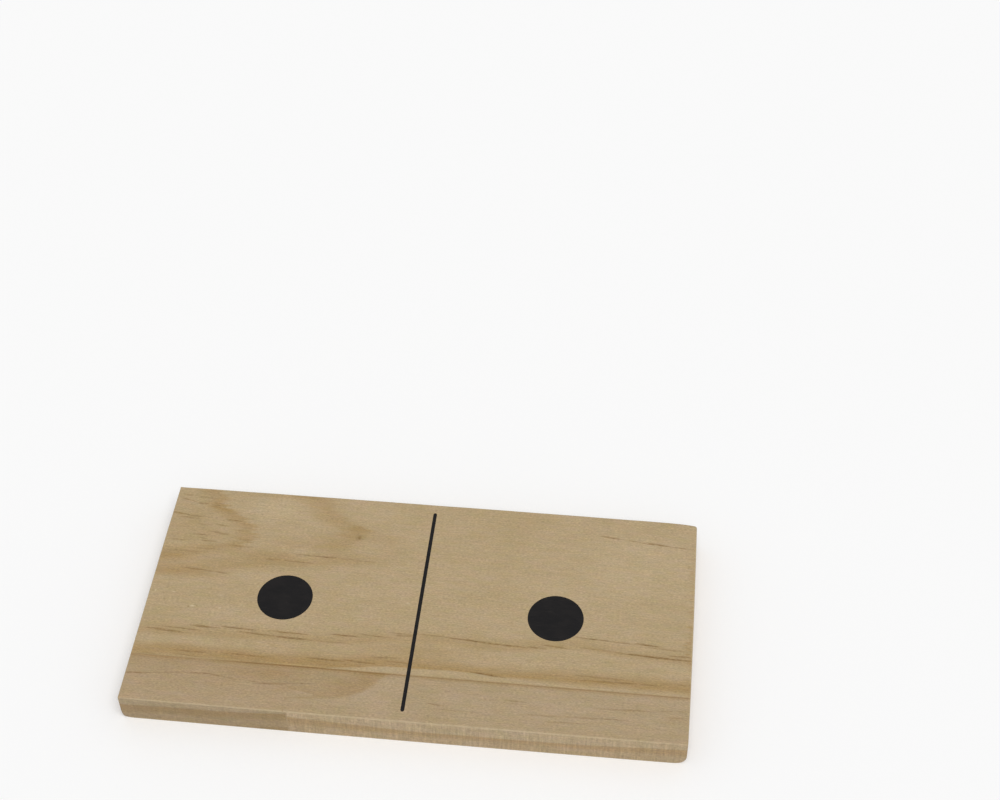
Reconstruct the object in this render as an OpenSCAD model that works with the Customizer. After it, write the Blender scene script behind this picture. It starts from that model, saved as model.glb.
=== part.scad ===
// Giant wooden domino tile, a double one, cut from edge-glued and finger-jointed pine board.
// Millimetres. The origin is the centre of the underside, X runs along the tile's length,
// Y runs from the narrow front stave to the wide back stave, and Z is up out of the printed face.

/* [Tile] */
// Length of the tile
tile_length = 300; // [240:1:330]
// Width of the tile
tile_width = 148; // [140:1:165]
// Thickness of the board
board_thickness = 18; // [12:0.5:28]
// Radius of the sanded edges round both faces
edge_round = 0.8; // [0.3:0.1:1]
// Radius of the four upright corners, seen from above
corner_round = 1.2; // [1.1:0.1:6]

/* [Board make-up] */
// Width of the narrow front stave
narrow_width = 29.1; // [20:0.1:40]
// Distance from the tile's left end to the middle of the finger joint
joint_distance = 95.5; // [40:0.5:200]
// Thickness of the glue film between the wide and narrow staves
edge_film = 0.16; // [0.1:0.02:0.3]

/* [Finger joint] */
// Length of the fingers
finger_length = 14.5; // [10:0.5:20]
// Distance from one finger to the next
finger_pitch = 7.2; // [5:0.1:9]
// Distance from the front face to the middle of the first finger's root
finger_start = 1.1; // [0:0.1:5]
// Width of a finger's blunt tip
finger_tip = 1.6; // [0.6:0.1:2.2]
// Gap left for glue at the fingers' tips
tip_gap = 0.8; // [0.5:0.1:1.2]

/* [Printed marks] */
// Diameter of a pip
pip_diameter = 30.7; // [20:0.1:40]
// Distance from the dividing line to the middle of a pip
pip_distance = 74.7; // [55:0.1:80]
// Length of the dividing line
divider_length = 135.6; // [90:0.1:138]
// Width of the dividing line
divider_width = 2.2; // [1:0.1:4]
// Distance that the print lies to the right of the tile's middle
print_shift = 0.5; // [-1:0.1:1]
// Thickness of the ink film, which lies on the wood
ink_film = 0.1; // [0.05:0.05:0.2]

/* [Hidden] */
$fn = 96;

front_y = -tile_width / 2;
seam_y = front_y + narrow_width;
joint_x = joint_distance - tile_length / 2;
finger_count = ceil(narrow_width / finger_pitch);
first_root_y = front_y + finger_start - finger_pitch;
last_root_y = first_root_y + (finger_count + 2) * finger_pitch;

// A rectangle centred on the origin with true arcs at its corners
module round_rectangle(length, width, radius) {
    square([length - 2 * radius, width], center = true);
    square([length, width - 2 * radius], center = true);
    for (x = [-1, 1], y = [-1, 1])
        translate([x * (length / 2 - radius), y * (width / 2 - radius)]) circle(radius);
}

// The whole board: its plan, with the edges of both faces rounded along the length and the width
module board() {
    middle_z = board_thickness / 2;
    intersection() {
        linear_extrude(board_thickness) round_rectangle(tile_length, tile_width, corner_round);
        translate([0, 0, middle_z]) rotate([90, 0, 90])
            linear_extrude(tile_length, center = true)
                round_rectangle(tile_width, board_thickness, edge_round);
        translate([0, 0, middle_z]) rotate([90, 0, 0])
            linear_extrude(tile_width, center = true)
                round_rectangle(tile_length, board_thickness, edge_round);
    }
}

// The zigzag that the fingers' ends and flanks follow in plan, moved along X by shift.
// It starts ahead of the front face and ends behind the edge glue line.
function finger_line(shift) = [
    for (y = [first_root_y : finger_pitch : last_root_y])
        each [
            [joint_x - finger_length / 2 + shift, y - finger_tip / 2],
            [joint_x - finger_length / 2 + shift, y + finger_tip / 2],
            [joint_x + finger_length / 2 + shift, y + finger_pitch / 2 - finger_tip / 2],
            [joint_x + finger_length / 2 + shift, y + finger_pitch / 2 + finger_tip / 2]
        ]
];

function reversed(points) = [for (i = [len(points) - 1 : -1 : 0]) points[i]];

// Plan of the narrow stave, as far back as the edge glue line
module narrow_strip() {
    translate([-tile_length / 2, front_y])
        square([tile_length, narrow_width - edge_film / 2]);
}

// One length of the narrow stave, from the tile's end at end_x to the fingers
module narrow_length(end_x, shift) {
    fingers = finger_line(shift);
    intersection() {
        board();
        linear_extrude(board_thickness) intersection() {
            polygon(concat(fingers, [
                [end_x, fingers[len(fingers) - 1].y], [end_x, fingers[0].y]
            ]));
            narrow_strip();
        }
    }
}

module wide_stave() {
    color("burlywood") intersection() {
        board();
        translate([-tile_length / 2, seam_y + edge_film / 2, 0])
            cube([tile_length, tile_width, board_thickness]);
    }
}

module narrow_stave_left() {
    color("tan") narrow_length(-tile_length / 2, -tip_gap / 2);
}

module narrow_stave_right() {
    color("wheat") narrow_length(tile_length / 2, tip_gap / 2);
}

module edge_glue_line() {
    color("darkgoldenrod") intersection() {
        board();
        translate([-tile_length / 2, seam_y - edge_film / 2, 0])
            cube([tile_length, edge_film, board_thickness]);
    }
}

module finger_joint_glue() {
    color("goldenrod") intersection() {
        board();
        linear_extrude(board_thickness) intersection() {
            polygon(concat(finger_line(-tip_gap / 2), reversed(finger_line(tip_gap / 2))));
            narrow_strip();
        }
    }
}

// An ink disc printed in the middle of one half of the face
module pip(x) {
    color("black") translate([x + print_shift, 0, board_thickness])
        cylinder(h = ink_film, d = pip_diameter);
}

module left_pip() {
    pip(-pip_distance);
}

module right_pip() {
    pip(pip_distance);
}

module divider_line() {
    color("black") translate([print_shift, 0, board_thickness])
        linear_extrude(ink_film)
            round_rectangle(divider_width, divider_length, divider_width / 2 - 0.01);
}

wide_stave();
narrow_stave_left();
narrow_stave_right();
edge_glue_line();
finger_joint_glue();
left_pip();
right_pip();
divider_line();
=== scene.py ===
"""Looks of the large wooden double-one domino tile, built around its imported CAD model.

The board is made as the real one is: one blank with sanded edges, cut into its staves and glue
films, with ink printed on its face. Lengths are millimetres until they reach Blender, in metres.
Grain is placed by x from the left end, y from the back edge and depth below the printed face.
"""
import math

import bmesh
import bpy
import numpy as np
from mathutils import Matrix, Vector, noise


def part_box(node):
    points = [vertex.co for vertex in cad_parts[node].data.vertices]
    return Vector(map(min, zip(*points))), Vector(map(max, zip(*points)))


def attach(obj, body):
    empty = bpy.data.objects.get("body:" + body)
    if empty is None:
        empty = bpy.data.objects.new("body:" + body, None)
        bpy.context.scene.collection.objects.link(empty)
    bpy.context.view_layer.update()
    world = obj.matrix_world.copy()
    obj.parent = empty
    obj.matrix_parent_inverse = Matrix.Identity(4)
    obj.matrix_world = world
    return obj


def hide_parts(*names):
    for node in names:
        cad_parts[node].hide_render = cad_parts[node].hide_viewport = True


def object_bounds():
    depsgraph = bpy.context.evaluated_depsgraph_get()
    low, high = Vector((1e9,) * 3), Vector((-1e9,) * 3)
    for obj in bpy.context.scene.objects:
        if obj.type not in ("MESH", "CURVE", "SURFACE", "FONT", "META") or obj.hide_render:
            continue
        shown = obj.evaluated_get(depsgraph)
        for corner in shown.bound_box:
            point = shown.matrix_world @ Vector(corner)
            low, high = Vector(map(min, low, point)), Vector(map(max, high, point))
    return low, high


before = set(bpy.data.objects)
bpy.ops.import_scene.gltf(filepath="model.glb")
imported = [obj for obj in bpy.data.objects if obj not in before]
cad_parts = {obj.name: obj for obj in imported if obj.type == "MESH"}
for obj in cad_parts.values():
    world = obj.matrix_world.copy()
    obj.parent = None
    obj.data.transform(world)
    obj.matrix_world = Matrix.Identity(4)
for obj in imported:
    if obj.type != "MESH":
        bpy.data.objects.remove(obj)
cad_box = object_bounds()

MM = 0.001

# ---------------------------------------------------------------- sizes, from the frame
TILE_LOW, TILE_HIGH = (Vector(corner) / MM for corner in cad_box)
LENGTH = TILE_HIGH.x - TILE_LOW.x
WIDTH = TILE_HIGH.y - TILE_LOW.y
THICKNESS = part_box("wide_stave")[1].z / MM
SEAM_LOW, SEAM_HIGH = (corner.y / MM for corner in map(Vector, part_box("edge_glue_line")))
JOINT_LEFT, JOINT_RIGHT = (corner.x / MM for corner in map(Vector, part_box("finger_joint_glue")))
SEAM_FROM_BACK = TILE_HIGH.y - (SEAM_LOW + SEAM_HIGH) / 2

# The finger joint's profile, as the CAD has it
FINGER_PITCH = 7.2
FINGER_START = 1.1
FINGER_TIP = 1.6
TIP_GAP = 0.8

# ---------------------------------------------------------------- the board's shape
UPPER_EDGE_RADIUS = 0.85
LOWER_EDGE_RADIUS = 0.4
# The edges' radius wanders by this share, in waves about this long
EDGE_WANDER = 0.22
EDGE_WAVE = 14
# How far each long side draws in towards its ends
CROWN = 0.3
# Lattice lines stand close together for this far in from each edge, then one step apart
EDGE_LINES = (0.0, 0.14, 0.3, 0.5, 0.75, 1.05, 1.5, 2.0, 2.7, 3.6)
LATTICE_STEP = 1.5
# How far the blocks that cut the board into pieces reach past it
CUT_REACH = 5
# How far the glue lies below the wood, the ink stands above it and the ink's underside lies in it
GLUE_SINK = 0.02
INK_HEIGHT = 0.05
INK_SOAK = 0.06
# How far the ink's outline stays inside the CAD's, which is also how uneven it is
INK_INSET = 0.05

# Upright corners: sign of x, sign of y, radius, then how deep the sanding bows the side in
# beside the corner, how much the underside is rubbed away, and how far the end face draws in
CORNERS = (
    (-1, -1, 0.6, 0.0, 0.8, 0.1),
    (1, -1, 0.8, 0.2, 1.4, 0.42),
    (1, 1, 1.3, 1.2, 0.5, 0.3),
    (-1, 1, 0.5, 0.0, 0.4, 0.3),
)
# How far the bow runs along the side, and how far the rub reaches over the underside's corner
CORNER_RUN = 6.0
RUB_REACH = 7
# Dents pressed in the printed face: x, y, half length, half width, depth
DENTS = (
    (26, 85, 2.2, 0.9, 0.16), (41.5, 85, 1.6, 0.8, 0.1), (14, 76, 1.6, 0.8, 0.08),
    (68.5, 41, 1.5, 2.2, 0.08), (119, 68.5, 2.4, 0.8, 0.08), (121, 79, 2.0, 0.8, 0.07),
    (144, 71.5, 1.8, 0.8, 0.09), (53, 81.5, 1.5, 0.8, 0.06), (288, 47, 3.0, 1.4, 0.07),
    (213, 121.5, 1.4, 0.7, 0.06),
)


def smooth(value, start, end):
    """0 at start, 1 at end, with a soft ramp between."""
    t = np.clip((value - start) / (end - start), 0, 1)
    return t * t * (3 - 2 * t)


def ripple(x, y, wave, seed):
    """A gentle wandering height from -1 to 1 at each point of the plan."""
    return np.array([noise.noise(Vector((a / wave, b / wave, seed))) for a, b in zip(x, y)])


def face_relief(x, y):
    """How far the printed face lies below its true plane, from sanding and dents."""
    left, back = x + LENGTH / 2, WIDTH / 2 - y
    relief = 0.02 + 0.02 * ripple(x / 3, y, 18, 2.5)
    for dent_x, dent_y, half_length, half_width, depth in DENTS:
        away = ((left - dent_x) / half_length) ** 2 + ((back - dent_y) / half_width) ** 2
        relief += depth * np.exp(-away)
    return relief


def lattice_lines(size):
    """Places of the lattice lines from 0 to size."""
    inner = size - 2 * EDGE_LINES[-1]
    count = max(1, round(inner / LATTICE_STEP))
    middle = EDGE_LINES[-1] + inner * np.arange(1, count) / count
    edge = np.array(EDGE_LINES)
    return np.concatenate([edge, middle, size - edge[::-1]])


def corner_values(side_x, side_y):
    """Radius, bow, rub and draw of the corner nearest to each point."""
    values = np.zeros((4, len(side_x)))
    for sign_x, sign_y, *corner in CORNERS:
        here = (side_x * 2 + 1 > 0) == (sign_x > 0)
        here &= (side_y * 2 + 1 > 0) == (sign_y > 0)
        values[:, here] = np.array(corner)[:, None]
    return values


def round_corners(x, y, side_x, side_y, corner_radius):
    """Rounds the upright corners. Gives the points, how far in from the wall each lies, and the
    way out to the wall."""
    over_x = np.abs(x) - (LENGTH / 2 - corner_radius)
    over_y = np.abs(y) - (WIDTH / 2 - corner_radius)
    in_corner = (over_x > 0) & (over_y > 0)
    reach = np.maximum(over_x, over_y)
    spread = np.maximum(np.hypot(over_x, over_y), 1e-9)
    shrink = np.where(in_corner, reach / spread, 1)
    x = np.where(in_corner, side_x * (LENGTH / 2 - corner_radius + over_x * shrink), x)
    y = np.where(in_corner, side_y * (WIDTH / 2 - corner_radius + over_y * shrink), y)
    out_x = np.where(in_corner, over_x / spread, over_x >= over_y) * side_x
    out_y = np.where(in_corner, over_y / spread, over_x < over_y) * side_y
    return x, y, corner_radius - reach, out_x, out_y


def round_edges(x, y, z, inward, out_x, out_y, corner_radius):
    """Rounds the edges of both faces by a radius that wanders a little along them."""
    radius = np.where(z > THICKNESS / 2, UPPER_EDGE_RADIUS, LOWER_EDGE_RADIUS)
    radius = radius * (1 + EDGE_WANDER * ripple(x, y + z * 3, EDGE_WAVE, 7.5))
    to_corner = np.maximum(LENGTH / 2 - np.abs(x), WIDTH / 2 - np.abs(y))
    radius = np.minimum(radius, corner_radius + 0.2 * to_corner)
    depth = np.minimum(z, THICKNESS - z)
    lean_in = np.maximum(radius - inward, 0)
    lean_down = np.maximum(radius - depth, 0)
    in_edge = (lean_in > 0) & (lean_down > 0)
    turn = radius / np.maximum(np.hypot(lean_in, lean_down), 1e-9)
    drawn_in = np.where(in_edge, radius - lean_in * turn, inward)
    sunk = np.where(in_edge, radius - lean_down * turn, depth)
    z = np.where(z > THICKNESS / 2, THICKNESS - sunk, sunk)
    return x - out_x * (drawn_in - inward), y - out_y * (drawn_in - inward), z


def sand_unevenly(x, y, z, side_x, side_y, corner):
    """Bows the sides in beside the corners, rubs the lower corners away and crowns the walls."""
    bow, rub, draw = corner
    from_end = LENGTH / 2 - np.abs(x)
    from_side = WIDTH / 2 - np.abs(y)
    y = y - side_y * bow * np.exp(-from_end / CORNER_RUN) * smooth(from_side, 14, 0)
    low_corner = np.maximum(RUB_REACH - from_end - from_side - np.maximum(z, 0), 0) / RUB_REACH
    rubbed = rub * low_corner ** 2
    x = x - side_x * rubbed
    y = y - side_y * rubbed * 0.5
    x = x - side_x * draw * (y / (WIDTH / 2)) ** 2 * smooth(from_end, 60, 0)
    y = y - side_y * CROWN * (x / (LENGTH / 2)) ** 2 * smooth(from_side, 40, 0)
    return x, y, z + rubbed


def rounded(points):
    """Moves the points of a square-edged blank to the sanded board's surface."""
    x, y, z = points.T.copy()
    side_x, side_y = np.sign(x), np.sign(y)
    corner_radius, *corner = corner_values(side_x, side_y)
    x, y, inward, out_x, out_y = round_corners(x, y, side_x, side_y, corner_radius)
    x, y, z = round_edges(x, y, z, inward, out_x, out_y, corner_radius)
    return np.stack(sand_unevenly(x, y, z, side_x, side_y, corner), axis=1)


def board_rim(nx, ny):
    """Which points of a face's lattice of nx by ny lie on its rim, in order round it."""
    rim = [(i, 0) for i in range(nx - 1)] + [(nx - 1, j) for j in range(ny - 1)]
    rim += [(i, ny - 1) for i in range(nx - 1, 0, -1)] + [(0, j) for j in range(ny - 1, 0, -1)]
    return np.array([i * ny + j for i, j in rim])


def board_points(xs, ys, zs, rim):
    """Points of the underside's lattice, of the rings up the walls and of the printed face's."""
    grid_x, grid_y = np.meshgrid(xs, ys, indexing="ij")
    flat = np.stack([grid_x.ravel(), grid_y.ravel()], axis=1)
    layers = [np.column_stack([flat, np.zeros(len(flat))])]
    layers += [np.column_stack([flat[rim], np.full(len(rim), z)]) for z in zs]
    layers += [np.column_stack([flat, np.full(len(flat), THICKNESS)])]
    points = rounded(np.concatenate(layers))
    face = points[-len(flat):]
    to_wall = np.minimum(LENGTH / 2 - np.abs(face[:, 0]), WIDTH / 2 - np.abs(face[:, 1]))
    face[:, 2] -= face_relief(face[:, 0], face[:, 1]) * smooth(to_wall, 0, 2.5)
    return points


def board_faces(nx, ny, layers, rim):
    """Quads of the underside, of the walls and of the printed face."""
    cells = np.array([(i * ny + j, (i + 1) * ny + j, (i + 1) * ny + j + 1, i * ny + j + 1)
                      for i in range(nx - 1) for j in range(ny - 1)])
    around = np.arange(len(rim))
    face_start = nx * ny + layers * len(rim)
    rings = [rim] + [nx * ny + k * len(rim) + around for k in range(layers)] + [face_start + rim]
    walls = [np.column_stack([low, np.roll(low, -1), np.roll(high, -1), high])
             for low, high in zip(rings, rings[1:])]
    return np.concatenate([cells[:, ::-1], *walls, cells + face_start])


def board_mesh(name, sink=0.0):
    """A closed mesh of the whole sanded board, its surface sunk by a small amount."""
    xs = lattice_lines(LENGTH) - LENGTH / 2
    ys = lattice_lines(WIDTH) - WIDTH / 2
    zs = lattice_lines(THICKNESS)[1:-1]
    rim = board_rim(len(xs), len(ys))
    points = board_points(xs, ys, zs, rim)
    if sink:
        centre = np.array([0, 0, THICKNESS / 2])
        half = np.array([LENGTH, WIDTH, THICKNESS]) / 2
        points = centre + (points - centre) * (half - sink) / half
    faces = board_faces(len(xs), len(ys), len(zs), rim)
    mesh = bpy.data.meshes.new(name)
    mesh.from_pydata((points * MM).tolist(), [], faces.tolist())
    return mesh


def add_object(name, mesh):
    made = bpy.data.objects.new(name, mesh)
    bpy.context.scene.collection.objects.link(made)
    return made


def prism(plan):
    """An upright block over a plan outline, reaching past both faces of the board."""
    shape = bmesh.new()
    base = [shape.verts.new((x * MM, y * MM, -CUT_REACH * MM)) for x, y in plan]
    face = shape.faces.new(base)
    lifted = bmesh.ops.extrude_face_region(shape, geom=[face])["geom"]
    for vert in (item for item in lifted if isinstance(item, bmesh.types.BMVert)):
        vert.co.z = (THICKNESS + CUT_REACH) * MM
    bmesh.ops.recalc_face_normals(shape, faces=shape.faces)
    mesh = bpy.data.meshes.new("cutter")
    shape.to_mesh(mesh)
    shape.free()
    return add_object("cutter", mesh)


def cut_from(board, name, plan):
    """A new piece: the part of the board that stands over a plan outline."""
    piece = add_object(name, board.copy())
    cutter = prism(plan)
    cut = piece.modifiers.new("cut", "BOOLEAN")
    cut.operation = "INTERSECT"
    cut.solver = "MANIFOLD"
    cut.object = cutter
    bpy.context.view_layer.update()
    view = bpy.context.evaluated_depsgraph_get()
    mesh = bpy.data.meshes.new_from_object(piece.evaluated_get(view))
    piece.modifiers.clear()
    piece.data = mesh
    mesh.name = name
    bpy.data.objects.remove(cutter)
    mesh.materials.clear()
    mesh.shade_smooth()
    mesh.set_sharp_from_angle(angle=math.radians(40))
    return piece


def finger_line(shift):
    """The finger joint's zigzag in plan, from ahead of the front face to behind the seam."""
    left = JOINT_LEFT + TIP_GAP / 2 + shift
    right = JOINT_RIGHT - TIP_GAP / 2 + shift
    tip = FINGER_TIP / 2
    points = []
    y = TILE_LOW.y + FINGER_START - FINGER_PITCH
    while y < SEAM_HIGH + FINGER_PITCH:
        middle = y + FINGER_PITCH / 2
        points += [(left, y - tip), (left, y + tip), (right, middle - tip), (right, middle + tip)]
        y += FINGER_PITCH
    return points


def below_seam(points):
    """Cuts an outline that crosses the seam back to the front side of the glue film."""
    kept = []
    for (x0, y0), (x1, y1) in zip(points, points[1:] + points[:1]):
        if y0 <= SEAM_LOW:
            kept.append((x0, y0))
        if (y0 <= SEAM_LOW) != (y1 <= SEAM_LOW):
            kept.append((x0 + (x1 - x0) * (SEAM_LOW - y0) / (y1 - y0), SEAM_LOW))
    return kept


def narrow_plan(end_x, shift):
    line = finger_line(shift)
    return below_seam(line + [(end_x, line[-1][1]), (end_x, line[0][1])])


def box_plan(y_low, y_high):
    reach = LENGTH / 2 + CUT_REACH
    return [(-reach, y_low), (reach, y_low), (reach, y_high), (-reach, y_high)]


def build_board():
    """The three staves and the two glue films."""
    board = board_mesh("board")
    sunk_board = board_mesh("glue", GLUE_SINK)
    reach = LENGTH / 2 + CUT_REACH
    pieces = {
        "wide_stave": cut_from(board, "pine_wide_stave", box_plan(SEAM_HIGH, WIDTH)),
        "narrow_stave_left": cut_from(
            board, "pine_narrow_stave_left", narrow_plan(-reach, -TIP_GAP / 2)),
        "narrow_stave_right": cut_from(
            board, "pine_narrow_stave_right", narrow_plan(reach, TIP_GAP / 2)),
        "edge_glue_line": cut_from(sunk_board, "glue_edge_line", box_plan(SEAM_LOW, SEAM_HIGH)),
        "finger_joint_glue": cut_from(
            sunk_board, "glue_finger_joint",
            below_seam(finger_line(-TIP_GAP / 2) + finger_line(TIP_GAP / 2)[::-1])),
    }
    bpy.data.meshes.remove(board)
    bpy.data.meshes.remove(sunk_board)
    return pieces


# ---------------------------------------------------------------- the printed ink
def ink_film(name, outline_at, rings):
    """A thin film that follows the face. outline_at(s) gives the outline scaled by s."""
    layers = [outline_at(scale) for scale in rings]
    count = len(layers[0])
    plan = np.concatenate(layers)
    face = THICKNESS - face_relief(plan[:, 0], plan[:, 1])
    heights = [INK_HEIGHT] * (len(rings) - 2) + [INK_HEIGHT * 0.8, -INK_SOAK * 0.3]
    top = face + np.repeat(heights, count)
    points = np.column_stack([plan, top])
    under = np.column_stack([plan[-count:], face[-count:] - INK_SOAK])
    points = np.concatenate([points, under])
    shape = bmesh.new()
    verts = [shape.verts.new(tuple(point * MM)) for point in points]
    loops = [verts[start:start + count] for start in range(0, len(verts), count)]
    for inner, outer in zip(loops, loops[1:]):
        for i in range(count):
            j = (i + 1) % count
            shape.faces.new((inner[i], outer[i], outer[j], inner[j]))
    shape.faces.new(loops[0])
    shape.faces.new(loops[-1][::-1])
    bmesh.ops.recalc_face_normals(shape, faces=shape.faces)
    mesh = bpy.data.meshes.new(name)
    shape.to_mesh(mesh)
    shape.free()
    mesh.shade_smooth()
    mesh.set_sharp_from_angle(angle=math.radians(50))
    return add_object(name, mesh)


def frayed(angle, seed):
    """A tiny unevenness of a printed edge where ink has crept along the grain."""
    return INK_INSET * noise.noise(Vector((math.cos(angle) * 9, math.sin(angle) * 9, seed)))


def print_pip(node, name, seed):
    low, high = (Vector(corner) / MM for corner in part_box(node))
    centre, radius = (low + high) / 2, (high.x - low.x) / 2 - INK_INSET
    steps = 160

    def outline(scale):
        angles = [2 * math.pi * i / steps for i in range(steps)]
        reach = [(radius + frayed(angle, seed)) * scale for angle in angles]
        return np.array([(centre.x + r * math.cos(a), centre.y + r * math.sin(a))
                         for r, a in zip(reach, angles)])

    rings = [0.02, 0.15, 0.3, 0.45, 0.6, 0.75, 0.88, 0.97, 0.994, 1.0]
    return ink_film(name, outline, rings)


def print_divider(node, name):
    low, high = (Vector(corner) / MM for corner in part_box(node))
    centre = (low + high) / 2
    half_width = (high.x - low.x) / 2 - INK_INSET
    straight = (high.y - low.y) / 2 - half_width - INK_INSET
    ends, sides = 12, 90

    def outline(scale):
        points = []
        for turn in (0, 1):
            sign = 1 - 2 * turn
            for i in range(sides):
                y = sign * straight * (2 * i / sides - 1)
                edge = half_width + frayed(y / 4 + turn, 3.5)
                points.append((sign * edge * scale, y))
            for i in range(ends):
                angle = math.pi * i / ends
                points.append((sign * half_width * math.cos(angle) * scale,
                               sign * (straight + half_width * math.sin(angle) * scale)))
        return np.array(points) + np.array([centre.x, centre.y])

    return ink_film(name, outline, [0.1, 0.5, 0.9, 1.0])


# ---------------------------------------------------------------- shader helpers
def seen(red, green, blue):
    """A colour given as it looks on a screen, 0 to 255, as linear light."""
    def linear(value):
        share = value / 255
        return share / 12.92 if share <= 0.04045 else ((share + 0.055) / 1.055) ** 2.4
    return (linear(red), linear(green), linear(blue), 1.0)


class Graph:
    """Adds nodes to one shader tree. An input takes a socket or a plain value."""

    def __init__(self, tree):
        self.tree = tree

    def feed(self, socket, value):
        if isinstance(value, bpy.types.NodeSocket):
            self.tree.links.new(value, socket)
        else:
            socket.default_value = value

    def node(self, kind, inputs=None, **settings):
        made = self.tree.nodes.new(kind)
        for name, value in settings.items():
            setattr(made, name, value)
        for name, value in (inputs or {}).items():
            self.feed(made.inputs[name], value)
        return made

    def math(self, operation, *values, clamp=False):
        made = self.node("ShaderNodeMath", operation=operation, use_clamp=clamp)
        for socket, value in zip(made.inputs, values):
            self.feed(socket, value)
        return made.outputs[0]

    def add(self, *values):
        total = values[0]
        for value in values[1:]:
            total = self.math("ADD", total, value)
        return total

    def times(self, *values):
        total = values[0]
        for value in values[1:]:
            total = self.math("MULTIPLY", total, value)
        return total

    def ramp(self, value, start, end, low=0.0, high=1.0):
        """low at start, high at end, with a soft S between."""
        return self.node("ShaderNodeMapRange", {
            "Value": value, "From Min": start, "From Max": end, "To Min": low, "To Max": high,
        }, interpolation_type="SMOOTHSTEP").outputs["Result"]

    def curve(self, value, points, span, height):
        """A smooth curve through given points; value runs 0 to span, the result 0 to height."""
        made = self.node("ShaderNodeFloatCurve", {"Value": self.times(value, 1 / span)})
        curve = made.mapping.curves[0]
        while len(curve.points) < len(points):
            curve.points.new(0.5, 0.5)
        for place, (along, level) in zip(curve.points, points):
            place.location = (along / span, level / height)
        made.mapping.update()
        return self.times(made.outputs["Value"], height)

    def noise(self, place, sizes, detail=2.0, roughness=0.5, shift=0.0):
        """Noise about 0.5 whose features are about as long as sizes, in mm, along x, y and depth."""
        x, y, depth = place
        vector = self.node("ShaderNodeCombineXYZ", {
            "X": self.math("MULTIPLY_ADD", x, 1 / sizes[0], shift),
            "Y": self.times(y, 1 / sizes[1]),
            "Z": self.times(depth, 1 / sizes[2]),
        }).outputs[0]
        return self.node("ShaderNodeTexNoise", {
            "Vector": vector, "Scale": 1.0, "Detail": detail, "Roughness": roughness,
        }).outputs["Fac"]

    def around(self, noise, share):
        """1 plus or minus a share of how far a noise value strays from its middle."""
        return self.math("MULTIPLY_ADD", noise, share, 1 - share / 2)

    def gain(self, colour, red, green, blue):
        """Scales a colour's channels."""
        scale = self.node("ShaderNodeCombineXYZ", {"X": red, "Y": green, "Z": blue}).outputs[0]
        return self.node("ShaderNodeVectorMath", {0: colour, 1: scale},
                         operation="MULTIPLY").outputs[0]

    def tint(self, colour, factor, other, blend="MULTIPLY"):
        made = self.node("ShaderNodeMix", {"Factor": factor}, data_type="RGBA", blend_type=blend)
        first, second = (socket for socket in made.inputs if socket.type == "RGBA")
        self.feed(first, colour)
        self.feed(second, other)
        return next(socket for socket in made.outputs if socket.type == "RGBA")


def make_group(name, inputs, output, fill):
    """A node group with float inputs and one float output, filled in by fill(graph, sockets)."""
    tree = bpy.data.node_groups.new(name, "ShaderNodeTree")
    for socket in inputs:
        tree.interface.new_socket(socket, in_out="INPUT", socket_type="NodeSocketFloat")
    tree.interface.new_socket(output, in_out="OUTPUT", socket_type="NodeSocketFloat")
    graph = Graph(tree)
    given = graph.node("NodeGroupInput").outputs
    result = graph.node("NodeGroupOutput").inputs[output]
    graph.feed(result, fill(graph, given))
    return tree


def fill_streak(graph, given):
    """A thin dark line that tapers to both ends, laid over what is already there."""
    along = graph.node("ShaderNodeMapRange", {
        "Value": given["X"], "From Min": given["From X"], "From Max": given["To X"],
    }).outputs["Result"]
    middle = graph.node("ShaderNodeMapRange", {
        "Value": along, "To Min": given["From Y"], "To Max": given["To Y"],
    }).outputs["Result"]
    taper = graph.math("SQRT", graph.times(along, graph.math("SUBTRACT", 1.0, along), 4.0))
    away = graph.math("DIVIDE", graph.math("ABSOLUTE", graph.math("SUBTRACT", given["Y"], middle)),
                      given["Width"])
    mark = graph.times(graph.math("SUBTRACT", taper, away, clamp=True), given["Strength"])
    return graph.math("MAXIMUM", mark, given["Under"])


def fill_patch(graph, given):
    """A soft oval patch, added to what is already there."""
    def share(value, centre, half):
        return graph.math("POWER", graph.math("DIVIDE", graph.math(
            "SUBTRACT", given[value], given[centre]), given[half]), 2.0)
    away = graph.math("SQRT", graph.add(share("X", "At X", "Half X"), share("Y", "At Y", "Half Y")))
    mark = graph.times(graph.ramp(away, 1.0, 0.0), given["Strength"])
    return graph.add(mark, given["Under"])


STREAK = make_group(
    "streak", ("X", "Y", "From X", "From Y", "To X", "To Y", "Width", "Strength", "Under"),
    "Mark", fill_streak)
PATCH = make_group(
    "patch", ("X", "Y", "At X", "At Y", "Half X", "Half Y", "Strength", "Under"),
    "Mark", fill_patch)


def lay_marks(graph, group, names, rows, x, y):
    """Chains one group node per row and gives the marks of all of them."""
    total = 0.0
    for row in rows:
        made = graph.node("ShaderNodeGroup", node_tree=group)
        for name, value in zip(("X", "Y", "Under") + names, (x, y, total) + row):
            graph.feed(made.inputs[name], value)
        total = made.outputs["Mark"]
    return total


def lay_streaks(graph, rows, x, y):
    return lay_marks(graph, STREAK, ("From X", "From Y", "To X", "To Y", "Width", "Strength"),
                     rows, x, y)


def lay_patches(graph, rows, x, y):
    return lay_marks(graph, PATCH, ("At X", "At Y", "Half X", "Half Y", "Strength"), rows, x, y)


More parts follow.
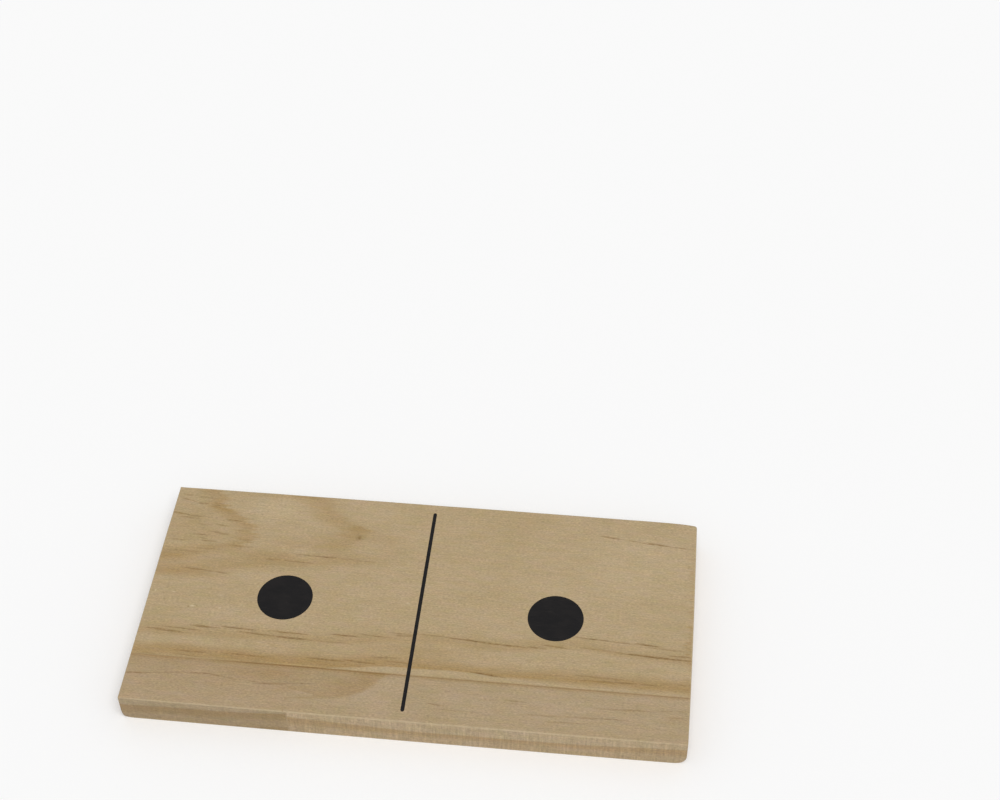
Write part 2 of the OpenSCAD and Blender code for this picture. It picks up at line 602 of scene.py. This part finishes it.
# ---------------------------------------------------------------- grain of each stave
# Resin streaks in the face: from x, from y, to x, to y, half width, strength
WIDE_STREAKS = (
    (3, 6, 11, 6.5, 0.8, 0.5), (11, 6.5, 26, 8, 0.8, 0.35), (2, 8.5, 14, 11, 0.9, 0.6),
    (12, 11.7, 20, 11.7, 0.8, 0.9), (21, 12.7, 27, 12.2, 0.8, 0.55), (23, 11, 29, 10.5, 0.7, 0.4),
    (-4, 19.2, 12, 21, 0.9, 0.75), (8, 21, 19, 21.5, 0.8, 0.6), (4, 22.5, 19, 23, 0.8, 0.65),
    (32, 22.5, 42, 23, 0.8, 0.8), (39, 24.5, 48, 25, 0.7, 0.25), (16, 27, 25, 27, 0.7, 0.3),
    (25, 26, 37, 27.5, 0.7, 0.6), (38, 30, 47, 29.5, 0.7, 0.3), (23, 31.5, 31, 32, 0.7, 0.45),
    (27, 32.5, 37, 33, 0.8, 0.6), (15, 34.5, 25, 34.5, 0.8, 0.55), (18, 36.5, 25, 37.5, 0.8, 0.35),
    (41, 36, 51, 36, 0.8, 0.3), (0, 39.5, 15, 39, 0.8, 0.35), (19, 38.5, 32, 39, 0.8, 0.7),
    (36, 40.5, 53, 41.2, 0.9, 0.45), (16, 44.2, 34, 44.2, 0.8, 0.3), (2, 47, 28, 47, 1.0, 0.28),
    (71, 38.5, 81, 38, 0.8, 0.25), (74, 43.4, 99, 44.2, 0.8, 0.65), (89, 44.1, 101, 44.1, 0.9, 0.75),
    (97, 44, 128, 45.3, 0.8, 0.35), (59, 48.5, 69, 48.5, 0.8, 0.5), (69, 48.4, 88, 49.2, 0.9, 0.6),
    (45, 53, 53, 53, 0.7, 0.12), (14, 58.5, 31, 59.8, 1.0, 0.6), (27, 59.7, 42, 60.7, 0.9, 0.6),
    (245, 14, 259, 15.5, 0.8, 0.85), (256, 15.2, 270, 16.7, 0.7, 0.45),
    (267, 16.5, 288, 18.2, 0.9, 0.95), (284, 18, 297, 19, 0.8, 0.55),
    (3, 101.3, 26, 102.8, 1.0, 0.85), (13, 99.6, 36, 100.6, 0.8, 0.7), (27, 97.6, 45, 98.1, 1.0, 0.85),
    (40, 96.6, 66, 97.6, 0.8, 0.8), (70, 97.3, 95, 97.9, 0.8, 0.85), (53, 99.4, 76, 100.4, 0.8, 0.8),
    (70, 100.5, 97, 101.3, 1.0, 0.95), (93, 101.1, 120, 101.8, 0.9, 0.45),
    (104, 96.3, 121, 96.6, 0.9, 0.9), (119, 94.6, 139, 95.6, 0.8, 0.6),
    (136, 92.1, 151, 92.8, 0.8, 0.5),
    (139, 93.4, 151, 93.6, 0.8, 0.6), (149, 91.6, 171, 92.2, 0.8, 0.45),
    (166, 92.3, 198, 94.4, 0.9, 0.95), (188, 94, 213, 95, 0.9, 0.85),
    (210, 94, 223, 94.9, 0.8, 0.6), (218, 92, 235, 93.5, 0.8, 0.7),
    (235, 85.5, 259, 86.5, 0.8, 0.85), (254, 86.5, 273, 87.1, 0.9, 0.6),
    (268, 86.6, 284, 87.6, 1.1, 0.95),
    (273, 88.3, 299, 89.6, 0.8, 0.55), (238, 92, 264, 93.5, 0.8, 0.5),
    (258, 93.6, 304, 95.6, 1.1, 1.0), (286, 92.7, 303, 93.3, 0.9, 0.8),
    (22, 114.4, 42, 115, 1.0, 0.55), (23, 117.1, 39, 117.6, 0.8, 0.4), (6, 117.6, 15, 118.1, 0.8, 0.3),
    (49, 114.1, 77, 114.6, 0.9, 0.5), (94, 112.6, 117, 113.3, 1.0, 0.65),
    (113, 112.2, 133, 113.4, 0.9, 0.75), (127, 109.2, 146, 108.2, 0.8, 0.45),
    (135, 110.5, 152, 111.5, 0.8, 0.55), (181, 113.2, 203, 115.5, 0.9, 0.85),
    (213, 111.5, 237, 111.5, 0.8, 0.2), (237, 110.1, 270, 111.1, 0.9, 0.45),
    (238, 113, 274, 112.7, 0.9, 0.45), (258, 112.6, 273, 112.6, 0.8, 0.65),
    (271, 112.4, 285, 112.9, 0.8, 0.5), (283, 111, 303, 111, 0.8, 0.3),
)
LEFT_STREAKS = (
    (-4, 131.9, 15, 130.2, 0.8, 0.75), (12, 130.4, 36, 128.1, 0.7, 0.35),
    (32, 128.4, 48, 127.9, 0.8, 0.6), (45, 128.4, 54, 129, 0.8, 0.55),
    (52, 129.1, 61, 130.1, 0.8, 0.35), (66, 130.3, 74, 131.3, 0.9, 0.45),
    (69, 131.9, 90, 130.3, 1.0, 0.55), (86, 130.2, 104, 128.9, 0.8, 0.45),
)
RIGHT_STREAKS = (
    (162, 135.3, 173, 136.3, 0.8, 0.55), (167, 138.3, 191, 138.8, 0.7, 0.3),
    (188, 129.8, 201, 130.3, 0.8, 0.25), (202, 129.3, 216, 129.8, 0.7, 0.5),
    (202, 130.9, 213, 131.2, 0.8, 0.25), (210, 137.4, 237, 136.7, 0.9, 0.45),
    (232, 136.8, 257, 136.1, 0.8, 0.5), (252, 135.9, 269, 136.1, 0.8, 0.6),
    (223, 140.9, 249, 139.8, 0.7, 0.45), (248, 130.3, 287, 128.7, 0.8, 0.5),
    (283, 128.5, 301, 127.2, 0.7, 0.4), (288, 132.3, 297, 131.9, 0.8, 0.45),
)
# Soft tan patches in the wide stave: centre x, y, half length, half width, strength
WIDE_PATCHES = (
    (107, 26, 13, 8, 0.4), (96, 34.5, 24, 12, 0.34), (122, 29, 16, 7, 0.15),
    (16, 62, 34, 6, 0.3), (60, 45, 28, 8, 0.27), (12, 28, 32, 22, 0.18), (28, 14, 9, 6, 0.25),
    (195, 10, 55, 14, 0.05), (60, 2.5, 34, 3, 0.2), (75, 1.5, 14, 2, 0.25),
    (3, 50, 12, 4, 0.12), (150, 103, 60, 8, 0.3), (90, 108, 60, 7, 0.15),
    (300, 70, 3, 70, 0.5), (85, 113.5, 48, 5.5, 0.35), (130, 110, 26, 5, 0.25), (28, 33, 14, 6, 0.15),
    (30, 112, 60, 4, 0.12), (72, 36, 18, 7, 0.22),
)
# Pale patches in the wide stave: the same values
WIDE_PALE_PATCHES = (
    (62, 12, 32, 13, 0.35), (125, 10, 26, 11, 0.15), (12, 43.5, 20, 4, 0.4), (20, 54, 22, 3, 0.15),
    (270, 36, 60, 34, 0.25), (225, 60, 50, 26, 0.1),
)
# Tan patches in the narrow staves; a negative strength takes brown away
LEFT_PATCHES = (
    (82, 124, 40, 8, 0.36), (55, 128, 60, 10, 0.15), (20, 121, 50, 7, 0.2), (84, 134, 18, 7, 0.14),
)
RIGHT_PATCHES = ((103, 131, 20, 11, -0.2),)
# Small pale nicks in the face, and darker specks: the same values
NICKS = (
    (26, 84.6, 2.0, 0.9, 1.4), (41.5, 84.6, 1.4, 0.8, 1.1), (14, 76, 1.6, 0.7, 0.8),
    (3.5, 76, 0.8, 1.4, 0.8), (40, 76, 2.6, 0.7, 0.7), (68.5, 41, 1.6, 2.6, 0.45),
    (59.5, 68, 1.0, 0.8, 0.7), (94, 90.5, 1.0, 0.7, 0.8), (119, 68.5, 2.8, 0.6, 0.7),
    (121, 79, 2.0, 0.6, 0.7), (119, 85, 3.8, 0.6, 0.7), (144, 71.5, 1.8, 0.7, 0.9),
    (109, 62.5, 2.8, 0.7, 0.7), (53, 81.5, 1.4, 0.7, 0.7), (68, 105.5, 3.0, 0.6, 0.6),
    # The last row is a long thin pale line just behind the seam, not a nick.
    (72, 107, 2.2, 0.6, 0.6), (102.6, 120.5, 0.6, 2.0, 0.9), (88, 118, 22, 0.7, 0.9),
)
SPECKS = (
    (110, 28.5, 1.3, 2.2, 0.35), (110, 28.5, 3.6, 3.6, 0.25), (24, 85.2, 0.9, 0.9, 0.6),
    (28.6, 84.4, 0.8, 0.7, 0.5), (103, 143.5, 0.9, 0.8, 0.5), (45.5, 6, 2.0, 0.5, 0.3),
)
# Growth-ring tongues that point along the stave: (y, x) along the tongue's edge
FIRST_TONGUE = ((0, 22), (6, 25), (12, 28), (17, 34), (21, 40), (26, 45.5), (31, 47.5), (36, 46),
                (40, 41), (42.5, 32), (45, 23), (50, 7), (55, 0), (148, 0))
SECOND_TONGUE = ((0, 84), (8, 89), (12, 92), (17, 97), (21, 106), (25, 124), (29, 135), (34, 136),
                 (40, 131), (44, 120), (47, 98), (51, 70), (55, 40), (60, 14), (65, 0), (148, 0))
# Growth lines that run the length of the stave: (x, y) along the line
LINE_BY_MIDDLE = ((0, 103), (60, 101.5), (110, 100), (150, 95), (200, 96.5), (235, 92),
                  (270, 95), (300, 96.5))
LINE_BY_SEAM = ((0, 116.5), (32, 115), (60, 117), (90, 119), (118, 116.4), (140, 114),
                (160, 113.3), (180, 113.8), (200, 114), (240, 113.4), (300, 114))
# Where the brown of the narrow staves starts below the face, along their front: (x, depth)
LEFT_FRONT_RING = ((0, 6), (25, 5), (45, 4.5), (70, 3.8), (82, 2.6), (104, 0.5), (300, 0.5))
RIGHT_FRONT_RING = ((0, 5), (88, 4.6), (105, 5.2), (125, 6.6), (150, 8.0), (200, 8.4),
                    (225, 8.2), (255, 7.2), (280, 5.8), (300, 5.2))
# The same at the seam, as depth plus 20 mm, so under 20 where the brown passes above the face
SEAM_RING_ZERO = 20.0
LEFT_SEAM_RING = ((0, 24), (50, 24), (104, 22), (300, 22))
RIGHT_SEAM_RING = ((0, 10), (104, 10.2), (115, 10.7), (125, 13.5), (133, 17.5), (140, 20),
                   (150, 22), (200, 24), (300, 26))
# How strong the brown of each tongue and growth line of the wide stave is
FIRST_TONGUE_BROWN = 0.42
SECOND_TONGUE_BROWN = 0.33
OUTER_TONGUE_BROWN = 0.5
MIDDLE_LINE_BROWN = 0.3
SEAM_LINE_BROWN = 0.6
SEAM_LINE_LEFT_BROWN = 0.52
# The narrow staves' brown sheets: their strength, and the depth from one to the next
SHEET_BROWN = 0.46
SHEET_SPACING = 12.5
# How brown the narrow staves are beside the seam, and how pale above their sheets
NARROW_SEAM_BROWN = 0.4
NARROW_PALE = 0.2


def growth_line(graph, x, y, points, start, end):
    """Latewood that darkens from start mm before a line along the stave to the line, and is gone
    end mm after it."""
    away = graph.math("SUBTRACT", y, graph.curve(x, points, LENGTH, WIDTH))
    return graph.times(graph.ramp(away, start, 0), graph.ramp(away, end, 0))


def wider_tongue(graph, y, wider, longer):
    """The edge of a tongue that lies round the second one, grown about the same middle line."""
    middle = 28
    inward = graph.math("MULTIPLY_ADD", y, 1 / wider, middle - middle / wider)
    return graph.times(graph.curve(inward, SECOND_TONGUE, WIDTH, LENGTH), longer)


def tongue(graph, x, y, edge, inner, outer):
    """Latewood inside the edge of a tongue; the band widens where the edge runs lengthwise."""
    away = graph.math("SUBTRACT", edge, x)
    away = graph.math("DIVIDE", away, graph.ramp(y, 38, 46, 1.0, 4.0))
    return graph.times(graph.ramp(away, inner, 0), graph.ramp(away, -outer, 0))


def bent(graph, x, y, depth, sizes, reach, seed):
    """x or y pushed to and fro by up to about a reach, as grain wanders."""
    wander = graph.noise((x, y, depth), sizes, 2.0, shift=seed)
    return graph.math("MULTIPLY_ADD", wander, 2 * reach, -reach)


def wide_grain(graph, x, y, depth):
    """Brown, dark and pale shares over the wide stave, whose rings slope towards the back."""
    bent_y = graph.add(y, bent(graph, x, y, depth, (26, 9, 9), 1.3, 3.0))
    feathered_x = graph.add(x, bent(graph, x, y, depth, (18, 1.1, 1.1), 9, 5.0),
                            bent(graph, x, y, depth, (40, 8, 8), 5, 8.0))
    ring_y = graph.math("MULTIPLY_ADD", depth, 0.6, bent_y)
    tongue_x = graph.math("MULTIPLY_ADD", depth, 5.0, feathered_x)
    first = graph.curve(bent_y, FIRST_TONGUE, WIDTH, LENGTH)
    second = graph.curve(bent_y, SECOND_TONGUE, WIDTH, LENGTH)
    below = graph.ramp(depth, 2, 9)
    closed = graph.math("MAXIMUM", graph.ramp(tongue_x, 124, 108, 0.3, 1), below)
    third = wider_tongue(graph, bent_y, 1.5, 1.6)
    fourth = wider_tongue(graph, bent_y, 2.0, 2.25)
    tongues = [
        graph.times(tongue(graph, tongue_x, bent_y, first, 14, 7),
                    graph.ramp(bent_y, 57, 50), FIRST_TONGUE_BROWN),
        graph.times(tongue(graph, tongue_x, bent_y, second, 22, 10), closed,
                    graph.ramp(bent_y, 68, 60), SECOND_TONGUE_BROWN),
        graph.times(tongue(graph, tongue_x, bent_y, third, 18, 5), below, OUTER_TONGUE_BROWN),
        graph.times(tongue(graph, tongue_x, bent_y, fourth, 18, 5), below, OUTER_TONGUE_BROWN),
    ]
    seam_side = graph.math("MAXIMUM", graph.ramp(x, 80, 30, 1, 8), graph.ramp(x, 185, 235, 1, 5))
    lines = [
        graph.times(growth_line(graph, x, ring_y, LINE_BY_MIDDLE, -9, 4), MIDDLE_LINE_BROWN),
        graph.times(growth_line(graph, x, ring_y, LINE_BY_SEAM, graph.ramp(x, 20, 120, -7, -9),
                                seam_side),
                    graph.ramp(x, 20, 60, SEAM_LINE_LEFT_BROWN, SEAM_LINE_BROWN)),
    ]
    brown = graph.add(*tongues, *lines, lay_patches(graph, WIDE_PATCHES, feathered_x, bent_y))
    fade = graph.ramp(depth, 4, 1.5)
    dark = graph.times(graph.add(ragged_streaks(graph, WIDE_STREAKS, x, y, depth, 9.0),
                                 lay_patches(graph, SPECKS, x, y)), fade)
    pale = graph.times(graph.add(lay_patches(graph, WIDE_PALE_PATCHES, feathered_x, bent_y),
                                 lay_patches(graph, NICKS, x, y)), fade)
    return brown, dark, pale


def ragged_streaks(graph, rows, x, y, depth, seed):
    """Resin streaks, each broken into a string of dashes of uneven weight."""
    bent_y = graph.add(y, bent(graph, x, y, depth, (7, 4, 4), 0.45, seed))
    dashes = graph.noise((x, y, depth), (3.5, 0.55, 0.55), 2.0, 0.6, shift=seed + 1)
    return graph.times(lay_streaks(graph, rows, x, bent_y), graph.ramp(dashes, 0.28, 0.6, 0.15, 1))


def narrow_grain(graph, x, y, depth, front_ring, seam_ring, low_share, streaks, patches):
    """Brown, dark and pale shares of a narrow stave. Its rings are sheets that rise to the back,
    and their brown sinks to low_share near the underside."""
    back = graph.node("ShaderNodeMapRange", {
        "Value": y, "From Min": WIDTH, "From Max": SEAM_FROM_BACK}).outputs["Result"]
    front_level = graph.curve(x, front_ring, LENGTH, THICKNESS)
    seam_level = graph.math("SUBTRACT", graph.curve(x, seam_ring, LENGTH, 2 * SEAM_RING_ZERO),
                            SEAM_RING_ZERO)
    level = graph.add(graph.times(front_level, graph.math("SUBTRACT", 1.0, back)),
                      graph.times(seam_level, back))
    below = graph.math("SUBTRACT", graph.add(depth, bent(
        graph, x, y, depth, (22, 6, 3), 0.5, 5.0), bent(
            graph, x, y, depth, (5, 0.8, 0.8), 0.4, 6.0)), level)
    second = graph.math("SUBTRACT", below, SHEET_SPACING)
    sheets = [graph.times(graph.ramp(sheet, -0.7, 0.7), graph.ramp(sheet, 9, 3, 0.3, 1))
              for sheet in (below, second)]
    by_seam = graph.ramp(graph.math("SUBTRACT", y, SEAM_FROM_BACK), 3, 0)
    brown = graph.add(
        graph.times(graph.math("MAXIMUM", *sheets), graph.ramp(depth, 9, 14, SHEET_BROWN, low_share)),
        graph.times(by_seam, NARROW_SEAM_BROWN), lay_patches(graph, patches, x, y))
    pale = graph.times(graph.ramp(below, 0.2, -0.8), graph.ramp(depth, 0.2, 1.5), NARROW_PALE)
    dark = graph.times(ragged_streaks(graph, streaks, x, y, depth, 4.0), graph.ramp(depth, 3, 1))
    return brown, dark, pale


# Colours of the plain wood, and what its brown and dark parts multiply them by
WOOD_PALE = seen(192, 176, 147)
WOOD_BASE = seen(175, 156, 124)
WOOD_BROWN = (0.74, 0.59, 0.31, 1.0)
WOOD_DARK = (0.44, 0.33, 0.15, 1.0)
DASH_BROWN = (0.70, 0.60, 0.50, 1.0)
# Sawn end grain drinks in dirt and looks darker
END_GRAIN = (0.80, 0.74, 0.66, 1.0)


def new_material(name):
    material = bpy.data.materials.new(name)
    material.use_nodes = True
    material.node_tree.nodes.clear()
    graph = Graph(material.node_tree)
    surface = graph.node("ShaderNodeBsdfPrincipled")
    output = graph.node("ShaderNodeOutputMaterial")
    graph.feed(output.inputs["Surface"], surface.outputs["BSDF"])
    return material, graph, surface


def tile_place(graph):
    """x from the left end, y from the back edge and depth below the face, in mm."""
    spot = graph.node("ShaderNodeTexCoord").outputs["Object"]
    parts = graph.node("ShaderNodeSeparateXYZ", {"Vector": spot}).outputs
    return (graph.math("MULTIPLY_ADD", parts["X"], 1 / MM, LENGTH / 2),
            graph.math("MULTIPLY_ADD", parts["Y"], -1 / MM, WIDTH / 2),
            graph.math("MULTIPLY_ADD", parts["Z"], -1 / MM, THICKNESS))


def fibres(graph, place, seed):
    """Noise layers that all pine here shares, from long fibres down to fine specks."""
    x, y, depth = place
    flow_y = graph.add(y, bent(graph, x, y, depth, (70, 22, 14), 3.0, seed))
    flow = (x, flow_y, depth)
    return {
        "long": graph.noise(flow, (26, 0.9, 0.9), 3.0, 0.6, shift=seed + 1),
        "short": graph.noise(flow, (6, 0.55, 0.55), 3.0, 0.65, shift=seed + 2),
        "speck": graph.noise(flow, (1.5, 0.42, 0.42), 2.0, 0.6, shift=seed + 3),
        "cloud": graph.noise(flow, (30, 14, 10), 3.0, 0.55, shift=seed + 4),
        "warmth": graph.noise(flow, (9, 3.2, 3.2), 4.0, 0.6, shift=seed + 5),
        "blush": graph.noise(flow, (11, 4.5, 4.5), 4.0, 0.6, shift=seed + 6),
        "dashes": graph.noise(flow, (4.5, 0.45, 0.45), 1.0, shift=seed + 7),
    }


def soak_with_glue(graph, colour, x, y, fibre):
    """Glue soaks a little way into the wood on both sides of the seam."""
    off_seam = graph.math("ABSOLUTE", graph.math("SUBTRACT", y, SEAM_FROM_BACK))
    soak = graph.times(graph.ramp(off_seam, 0.9, 0.1), graph.around(fibre["short"], 1.4),
                       graph.ramp(x, 40, 70, 0.12, 0.75), graph.ramp(x, 110, 160, 1, 0.6))
    return graph.tint(colour, soak, (0.68, 0.57, 0.38, 1.0))


def wear_edges_and_highlight(graph, colour, x, y, depth, fibre):
    """Sandpaper wear leaves the edges of both faces paler; this pale band also serves as a painted
    highlight on the rounded edges.
    """
    to_end = graph.math("MINIMUM", x, graph.math("SUBTRACT", LENGTH, x))
    to_side = graph.math("MINIMUM", y, graph.math("SUBTRACT", WIDTH, y))
    to_wall = graph.math("MINIMUM", to_end, to_side)
    to_face = graph.math("MINIMUM", depth, graph.math("SUBTRACT", THICKNESS, depth))
    worn_and_highlight = graph.times(graph.ramp(to_wall, 1.0, 0.3), graph.ramp(to_face, 1.0, 0.3),
                       graph.around(fibre["short"], 1.2), 0.4)
    # Painted highlight mixed with real sanding wear: the rounded edges are tinted pale.
    return graph.tint(colour, worn_and_highlight, seen(196, 180, 148), "MIX")


def mottle(graph, colour, fibre, saw_relief_shade, tone):
    """Scales a colour by tone and by the fibres' own light and dark, warm and cool, and by painted
    shade in the saw marks' grooves and painted light on their ridges.
    """
    light = graph.times(
        graph.around(fibre["long"], 0.26), graph.around(fibre["short"], 0.5),
        graph.around(fibre["speck"], 0.95), graph.around(fibre["cloud"], 0.2),
        graph.math("MULTIPLY_ADD", saw_relief_shade, 0.7, 1.0))
    red = graph.around(fibre["blush"], 0.17)
    blue = graph.times(graph.around(fibre["warmth"], -0.34), graph.around(fibre["blush"], 0.1),
                       graph.around(fibre["cloud"], 0.22))
    return graph.gain(colour, graph.times(light, red, tone[0]), graph.times(light, tone[1]),
                      graph.times(light, blue, tone[2]))


def pine(name, grain, seed, tone, side_shade, saw_marks):
    """Sanded pine whose brown, dark and pale shares come from grain(graph, x, y, depth).

    tone scales the whole stave's colour and the side colour scales its long edge's faces, which paints
    shade on them; saw_marks is how plainly the edge shows the cross-grain marks of the saw.
    """
    material, graph, surface = new_material(name)
    x, y, depth = tile_place(graph)
    brown, dark, pale = grain(graph, x, y, depth)
    fibre = fibres(graph, (x, y, depth), seed)
    facing = graph.node("ShaderNodeSeparateXYZ", {
        "Vector": graph.node("ShaderNodeTexCoord").outputs["Normal"]}).outputs
    on_end = graph.ramp(graph.math("ABSOLUTE", facing["X"]), 0.6, 0.9)
    on_side = graph.ramp(graph.math("ABSOLUTE", facing["Y"]), 0.6, 0.9)
    saw = graph.noise((x, y, depth), (0.8, 9, 9), 2.0, 0.6, shift=seed + 9)
    saw_share = graph.times(on_side, saw_marks)

    colour = graph.tint(WOOD_BASE, graph.math("MINIMUM", pale, 1.0), WOOD_PALE, "MIX")
    brown = graph.times(graph.math("MAXIMUM", brown, 0.0), graph.around(fibre["long"], 0.9))
    brown = graph.math("MINIMUM", brown, 1.0)
    colour = graph.tint(colour, brown, WOOD_BROWN)
    colour = graph.tint(colour, graph.math("MINIMUM", dark, 1.0), WOOD_DARK)
    dashes = graph.ramp(fibre["dashes"], 0.66, 0.78)
    colour = graph.tint(colour, graph.times(dashes, 0.3), DASH_BROWN)
    # Painted shade and light: the saw marks' grooves are darkened and their ridges lightened in the
    # colour.
    saw_relief_shade = graph.times(saw_share, graph.math("SUBTRACT", saw, 0.5))
    colour = mottle(graph, colour, fibre, saw_relief_shade, tone)
    # Painted shade: the faces of the long edges are darkened by the side colour.
    colour = graph.tint(colour, on_side, side_shade)
    colour = graph.tint(colour, on_end, END_GRAIN)
    colour = soak_with_glue(graph, colour, x, y, fibre)
    colour = wear_edges_and_highlight(graph, colour, x, y, depth, fibre)
    graph.feed(surface.inputs["Base Color"], colour)

    gloss = graph.add(0.58, graph.times(fibre["short"], 0.14), graph.times(brown, -0.05))
    graph.feed(surface.inputs["Roughness"], gloss)
    surface.inputs["Specular IOR Level"].default_value = 0.3
    height = graph.add(graph.times(fibre["short"], 0.6), graph.times(fibre["speck"], 0.5),
                       graph.times(brown, 0.25), graph.times(dashes, -0.4),
                       graph.times(saw, saw_share, 0.9))
    bump = graph.node("ShaderNodeBump", {
        "Strength": 0.6, "Distance": 0.00012, "Height": height})
    graph.feed(surface.inputs["Normal"], bump.outputs["Normal"])
    return material


def cured_glue():
    """Amber glue in the seam; between the fingers it is filled with pale sanding dust."""
    material, graph, surface = new_material("cured_glue")
    x, y, depth = tile_place(graph)
    patchy = graph.noise((x, y, depth), (14, 3, 3), 3.0, shift=2.0)
    dust = graph.noise((x, y, depth), (1.2, 0.6, 0.6), 2.0, shift=7.0)
    amber = graph.tint(seen(146, 118, 78), graph.ramp(patchy, 0.3, 0.7), seen(122, 98, 66), "MIX")
    filled = graph.tint(seen(168, 146, 112), graph.ramp(dust, 0.35, 0.65), seen(158, 134, 100),
                        "MIX")
    in_seam = graph.times(graph.ramp(graph.math("ABSOLUTE", graph.math(
        "SUBTRACT", y, SEAM_FROM_BACK)), 0.3, 0.1), graph.ramp(x, 40, 60, 0.1, 1),
                          graph.ramp(x, 110, 160, 1, 0.6))
    graph.feed(surface.inputs["Base Color"], graph.tint(filled, in_seam, amber, "MIX"))
    graph.feed(surface.inputs["Roughness"], graph.ramp(patchy, 0.3, 0.7, 0.42, 0.56))
    surface.inputs["Specular IOR Level"].default_value = 0.3
    bump = graph.node("ShaderNodeBump", {
        "Strength": 0.4, "Distance": 0.0001,
        "Height": graph.add(patchy, graph.times(dust, 0.5))})
    graph.feed(surface.inputs["Normal"], bump.outputs["Normal"])
    return material


def black_ink():
    """Flat black ink that sinks into the fibres, so that the grain shows through it."""
    material, graph, surface = new_material("black_ink")
    place = tile_place(graph)
    fibre = graph.noise(place, (9, 0.42, 0.42), 3.0, 0.65, shift=3.0)
    fine = graph.noise(place, (2.2, 0.17, 0.17), 2.0, 0.6, shift=4.0)
    cloud = graph.noise(place, (9, 6, 6), 2.0, shift=6.0)
    colour = graph.tint(seen(24, 23, 24), graph.ramp(cloud, 0.35, 0.7), seen(30, 28, 28), "MIX")
    colour = graph.tint(colour, graph.ramp(fibre, 0.55, 0.8), seen(50, 46, 43), "MIX")
    pinholes = graph.ramp(fine, 0.78, 0.84)
    colour = graph.tint(colour, graph.times(pinholes, 0.35), seen(96, 80, 62), "MIX")
    graph.feed(surface.inputs["Base Color"], colour)
    graph.feed(surface.inputs["Roughness"], graph.ramp(fibre, 0.3, 0.7, 0.5, 0.64))
    surface.inputs["Specular IOR Level"].default_value = 0.16
    bump = graph.node("ShaderNodeBump", {
        "Strength": 0.5, "Distance": 0.00008,
        "Height": graph.add(graph.times(fibre, 0.7), graph.times(fine, 0.3))})
    graph.feed(surface.inputs["Normal"], bump.outputs["Normal"])
    return material


# ---------------------------------------------------------------- put the tile together
def left_grain(graph, x, y, depth):
    return narrow_grain(graph, x, y, depth, LEFT_FRONT_RING, LEFT_SEAM_RING, 0.35,
                        LEFT_STREAKS, LEFT_PATCHES)


def right_grain(graph, x, y, depth):
    return narrow_grain(graph, x, y, depth, RIGHT_FRONT_RING, RIGHT_SEAM_RING, 0.05,
                        RIGHT_STREAKS, RIGHT_PATCHES)


def finish_piece(piece, node, material):
    piece.data.materials.append(material)
    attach(piece, "root")
    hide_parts(node)


def build_tile():
    board = build_board()
    glue, ink = cured_glue(), black_ink()
    # Each stave's second colour is painted shade on the faces of its long edges.
    wide = pine("pine_wide", wide_grain, 11.0, (1.04, 1.005, 0.94), (0.96, 0.95, 0.95, 1.0), 0.6)
    left = pine("pine_narrow_left", left_grain, 31.0, (0.955, 0.90, 0.865),
                (0.865, 0.88, 0.88, 1.0), 0.45)
    right = pine("pine_narrow_right", right_grain, 51.0, (0.972, 0.934, 0.91),
                 (1.0, 1.0, 1.0, 1.0), 1.0)
    finish_piece(board["wide_stave"], "wide_stave", wide)
    finish_piece(board["narrow_stave_left"], "narrow_stave_left", left)
    finish_piece(board["narrow_stave_right"], "narrow_stave_right", right)
    finish_piece(board["edge_glue_line"], "edge_glue_line", glue)
    finish_piece(board["finger_joint_glue"], "finger_joint_glue", glue)
    finish_piece(print_pip("left_pip", "ink_left_pip", 1.5), "left_pip", ink)
    finish_piece(print_pip("right_pip", "ink_right_pip", 6.5), "right_pip", ink)
    finish_piece(print_divider("divider_line", "ink_divider"), "divider_line", ink)


# ---------------------------------------------------------------- camera, floor and light
CAMERA_AT = Vector((0.1151, -0.5914, 0.8111))
LOOK_AT = Vector((0.0277, 0.1622, 0.0161))
CAMERA_ROLL = math.radians(-0.853)
LENS = 65.05
SENSOR_WIDTH = 36
# Where the key light comes from, how many degrees wide it looks, and its strength
KEY_FROM = Vector((0.5, -1.1, 2.5))
KEY_BREADTH = 45
KEY_STRENGTH = 1.65
# Strength of the even white light from all round
SKY_STRENGTH = 0.5
# Half the floor's side in metres, wide enough that no view shows where it ends
FLOOR_HALF = 20


def add_camera():
    camera = bpy.data.cameras.new("camera")
    camera.lens = LENS
    camera.sensor_width = SENSOR_WIDTH
    placed = add_object("camera", camera)
    aim = (LOOK_AT - CAMERA_AT).to_track_quat("-Z", "Y").to_matrix().to_4x4()
    placed.matrix_world = Matrix.Translation(CAMERA_AT) @ aim @ Matrix.Rotation(CAMERA_ROLL, 4, "Z")
    bpy.context.scene.camera = placed


def add_floor():
    """A plain, almost white floor at the underside's height."""
    turns = ((-1, -1), (1, -1), (1, 1), (-1, 1))
    corners = [(FLOOR_HALF * x, FLOOR_HALF * y, 0) for x, y in turns]
    mesh = bpy.data.meshes.new("floor")
    mesh.from_pydata(corners, [], [(0, 1, 2, 3)])
    material, _, surface = new_material("floor")
    surface.inputs["Base Color"].default_value = (0.98, 0.98, 0.98, 1.0)
    surface.inputs["Roughness"].default_value = 0.9
    surface.inputs["Specular IOR Level"].default_value = 0.0
    mesh.materials.append(material)
    add_object("floor", mesh)


def add_key_light():
    """Light as from a very broad studio softbox far up in front, even over the whole floor."""
    light = bpy.data.lights.new("key", "SUN")
    light.angle = math.radians(KEY_BREADTH)
    light.energy = KEY_STRENGTH
    placed = add_object("key", light)
    aim = (-KEY_FROM).to_track_quat("-Z", "Y").to_matrix().to_4x4()
    placed.matrix_world = Matrix.Translation(KEY_FROM) @ aim


def add_lights():
    world = bpy.data.worlds.new("studio")
    world.use_nodes = True
    background = world.node_tree.nodes["Background"]
    background.inputs["Color"].default_value = (1.0, 1.0, 1.0, 1.0)
    background.inputs["Strength"].default_value = SKY_STRENGTH
    bpy.context.scene.world = world
    add_key_light()
    bpy.context.scene.view_settings.view_transform = "Standard"


build_tile()
add_camera()
add_floor()
add_lights()
